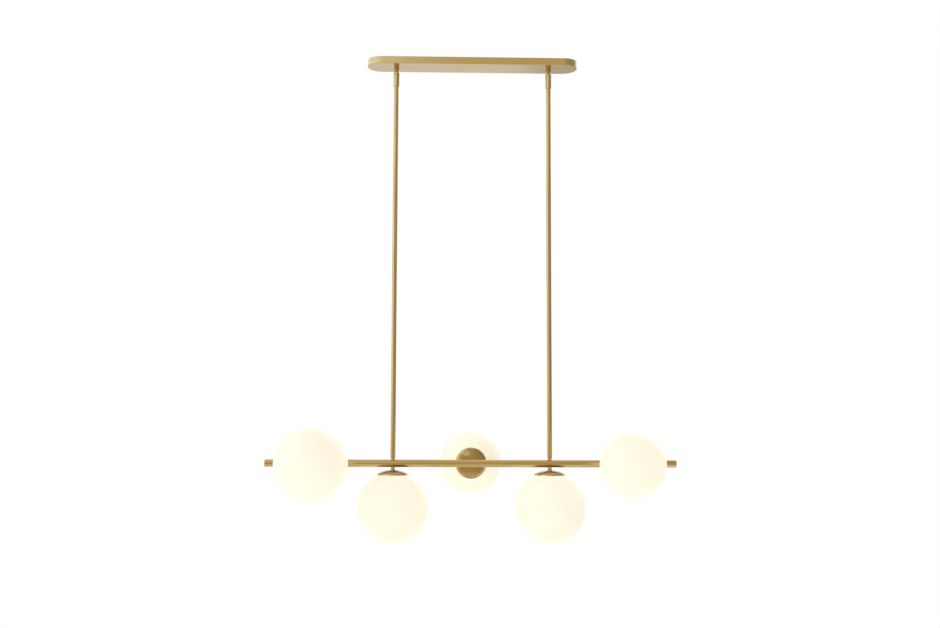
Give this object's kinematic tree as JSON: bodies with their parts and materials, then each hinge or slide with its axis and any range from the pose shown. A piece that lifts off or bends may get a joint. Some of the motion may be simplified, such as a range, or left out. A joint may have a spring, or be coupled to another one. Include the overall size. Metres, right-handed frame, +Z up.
{
  "type": "linear island pendant light",
  "caption": "Linear pendant light: a racetrack canopy, two ball swivels and rods, and a bar whose heads carry screw-on opal glass globes in front of, behind and below it.",
  "frame": {"origin": "centre of the ceiling plane, at the top of the mounting bracket", "axes": "+X runs along the bar to the right as seen from the front, +Y points to the back, +Z points up through the ceiling"},
  "size_m": [1.172, 0.4326, 1.4014],
  "materials": {
    "canopy_brass": "satin, lacquered drawn sheet",
    "cap_brass": "polished, lacquered spun sheet",
    "bar_brass": "satin, lacquered tube",
    "rod_brass": "satin, lacquered tube",
    "swivel_brass": "turned and polished",
    "spacer_brass": "turned and polished",
    "insert_brass": "turned, bare",
    "zinc_steel": "zinc-plated",
    "opal_glass": "blown opal glass, glossy",
    "white_plastic": "moulded, matt",
    "porcelain": "glazed porcelain",
    "block_plastic": "moulded, matt",
    "bulb_glass": "frosted on the inside",
    "shell_aluminium": "pressed, bare",
    "contact_brass": "pressed, bare"
  },
  "bodies": {
    "canopy": {"canopy_cover": "canopy_brass", "mounting_bracket": "zinc_steel", "spigot_nuts": "zinc_steel", "spigot_washers": "zinc_steel", "terminal_block": "block_plastic", "bracket_screws": "zinc_steel", "swivel_seat_left": "swivel_brass", "swivel_seat_right": "swivel_brass", "ball_stud_left": "swivel_brass", "ball_stud_right": "swivel_brass"},
    "hanging_frame": {"bar_bushes": "insert_brass", "bar_end_plugs": "bar_brass", "bar_tube": "bar_brass", "cap_back": "cap_brass", "cap_front_left": "cap_brass", "cap_front_right": "cap_brass", "cap_lower_left": "cap_brass", "cap_lower_right": "cap_brass", "globe_carriers": "zinc_steel", "head_nipples": "zinc_steel", "head_nuts": "zinc_steel", "head_spacers": "spacer_brass", "head_washers": "zinc_steel", "lamp_socket_back": "porcelain", "lamp_socket_front_left": "porcelain", "lamp_socket_front_right": "porcelain", "lamp_socket_lower_left": "porcelain", "lamp_socket_lower_right": "porcelain", "lower_rod_left": "rod_brass", "lower_rod_right": "rod_brass", "rod_feet": "spacer_brass", "rod_inserts": "insert_brass", "rod_nipples": "zinc_steel", "socket_contacts": "contact_brass", "socket_shells": "shell_aluminium", "swivel_barrel_left": "swivel_brass", "swivel_barrel_right": "swivel_brass", "upper_rod_left": "rod_brass", "upper_rod_right": "rod_brass"},
    "collar_front_left": {"globe_collar_front_left": "white_plastic"},
    "globe_front_left": {"glass_globe_front_left": "opal_glass"},
    "base_front_left": {"bulb_base_front_left": "shell_aluminium"},
    "bulb_front_left": {"bulb_glass_front_left": "bulb_glass"},
    "collar_lower_left": {"globe_collar_lower_left": "white_plastic"},
    "globe_lower_left": {"glass_globe_lower_left": "opal_glass"},
    "base_lower_left": {"bulb_base_lower_left": "shell_aluminium"},
    "bulb_lower_left": {"bulb_glass_lower_left": "bulb_glass"},
    "collar_back": {"globe_collar_back": "white_plastic"},
    "globe_back": {"glass_globe_back": "opal_glass"},
    "base_back": {"bulb_base_back": "shell_aluminium"},
    "bulb_back": {"bulb_glass_back": "bulb_glass"},
    "collar_lower_right": {"globe_collar_lower_right": "white_plastic"},
    "globe_lower_right": {"glass_globe_lower_right": "opal_glass"},
    "base_lower_right": {"bulb_base_lower_right": "shell_aluminium"},
    "bulb_lower_right": {"bulb_glass_lower_right": "bulb_glass"},
    "collar_front_right": {"globe_collar_front_right": "white_plastic"},
    "globe_front_right": {"glass_globe_front_right": "opal_glass"},
    "base_front_right": {"bulb_base_front_right": "shell_aluminium"},
    "bulb_front_right": {"bulb_glass_front_right": "bulb_glass"}
  },
  "joints": [
    {"name": "frame_swing", "type": "hinge", "parent": "canopy", "child": "hanging_frame", "pos_m": [0, 0, -0.0445], "axis": [1, 0, 0], "range_deg": [-20, 20]},
    {"name": "globe_drop_front_left", "type": "slide", "parent": "hanging_frame", "child": "collar_front_left", "axis": [0, -1, 0], "range_m": [0, 0.008]},
    {"name": "globe_turn_front_left", "type": "hinge", "parent": "collar_front_left", "child": "globe_front_left", "pos_m": [-0.4435, 0, -1.175], "axis": [0, -1, 0], "range_deg": [0, 721]},
    {"name": "bulb_drop_front_left", "type": "slide", "parent": "hanging_frame", "child": "base_front_left", "axis": [0, -1, 0], "range_m": [0, 0.01089]},
    {"name": "bulb_turn_front_left", "type": "hinge", "parent": "base_front_left", "child": "bulb_front_left", "pos_m": [-0.4435, 0, -1.175], "axis": [0, -1, 0], "range_deg": [0, 1081]},
    {"name": "globe_drop_lower_left", "type": "slide", "parent": "hanging_frame", "child": "collar_lower_left", "axis": [0, 0, -1], "range_m": [0, 0.008]},
    {"name": "globe_turn_lower_left", "type": "hinge", "parent": "collar_lower_left", "child": "globe_lower_left", "pos_m": [-0.2235, 0, -1.175], "axis": [0, 0, -1], "range_deg": [0, 721]},
    {"name": "bulb_drop_lower_left", "type": "slide", "parent": "hanging_frame", "child": "base_lower_left", "axis": [0, 0, -1], "range_m": [0, 0.01089]},
    {"name": "bulb_turn_lower_left", "type": "hinge", "parent": "base_lower_left", "child": "bulb_lower_left", "pos_m": [-0.2235, 0, -1.175], "axis": [0, 0, -1], "range_deg": [0, 1081]},
    {"name": "globe_drop_back", "type": "slide", "parent": "hanging_frame", "child": "collar_back", "axis": [0, 1, 0], "range_m": [0, 0.008]},
    {"name": "globe_turn_back", "type": "hinge", "parent": "collar_back", "child": "globe_back", "pos_m": [0, 0, -1.175], "axis": [0, 1, 0], "range_deg": [0, 721]},
    {"name": "bulb_drop_back", "type": "slide", "parent": "hanging_frame", "child": "base_back", "axis": [0, 1, 0], "range_m": [0, 0.01089]},
    {"name": "bulb_turn_back", "type": "hinge", "parent": "base_back", "child": "bulb_back", "pos_m": [0, 0, -1.175], "axis": [0, 1, 0], "range_deg": [0, 1081]},
    {"name": "globe_drop_lower_right", "type": "slide", "parent": "hanging_frame", "child": "collar_lower_right", "axis": [0, 0, -1], "range_m": [0, 0.008]},
    {"name": "globe_turn_lower_right", "type": "hinge", "parent": "collar_lower_right", "child": "globe_lower_right", "pos_m": [0.2235, 0, -1.175], "axis": [0, 0, -1], "range_deg": [0, 721]},
    {"name": "bulb_drop_lower_right", "type": "slide", "parent": "hanging_frame", "child": "base_lower_right", "axis": [0, 0, -1], "range_m": [0, 0.01089]},
    {"name": "bulb_turn_lower_right", "type": "hinge", "parent": "base_lower_right", "child": "bulb_lower_right", "pos_m": [0.2235, 0, -1.175], "axis": [0, 0, -1], "range_deg": [0, 1081]},
    {"name": "globe_drop_front_right", "type": "slide", "parent": "hanging_frame", "child": "collar_front_right", "axis": [0, -1, 0], "range_m": [0, 0.008]},
    {"name": "globe_turn_front_right", "type": "hinge", "parent": "collar_front_right", "child": "globe_front_right", "pos_m": [0.4435, 0, -1.175], "axis": [0, -1, 0], "range_deg": [0, 721]},
    {"name": "bulb_drop_front_right", "type": "slide", "parent": "hanging_frame", "child": "base_front_right", "axis": [0, -1, 0], "range_m": [0, 0.01089]},
    {"name": "bulb_turn_front_right", "type": "hinge", "parent": "base_front_right", "child": "bulb_front_right", "pos_m": [0.4435, 0, -1.175], "axis": [0, -1, 0], "range_deg": [0, 1081]}
  ],
  "couplings": [
    {"joint": "globe_turn_front_left", "follows": "globe_drop_front_left", "rad_per_m": 1570.8},
    {"joint": "bulb_turn_front_left", "follows": "bulb_drop_front_left", "rad_per_m": 1731.6},
    {"joint": "globe_turn_lower_left", "follows": "globe_drop_lower_left", "rad_per_m": 1570.8},
    {"joint": "bulb_turn_lower_left", "follows": "bulb_drop_lower_left", "rad_per_m": 1731.6},
    {"joint": "globe_turn_back", "follows": "globe_drop_back", "rad_per_m": 1570.8},
    {"joint": "bulb_turn_back", "follows": "bulb_drop_back", "rad_per_m": 1731.6},
    {"joint": "globe_turn_lower_right", "follows": "globe_drop_lower_right", "rad_per_m": 1570.8},
    {"joint": "bulb_turn_lower_right", "follows": "bulb_drop_lower_right", "rad_per_m": 1731.6},
    {"joint": "globe_turn_front_right", "follows": "globe_drop_front_right", "rad_per_m": 1570.8},
    {"joint": "bulb_turn_front_right", "follows": "bulb_drop_front_right", "rad_per_m": 1731.6}
  ]
}
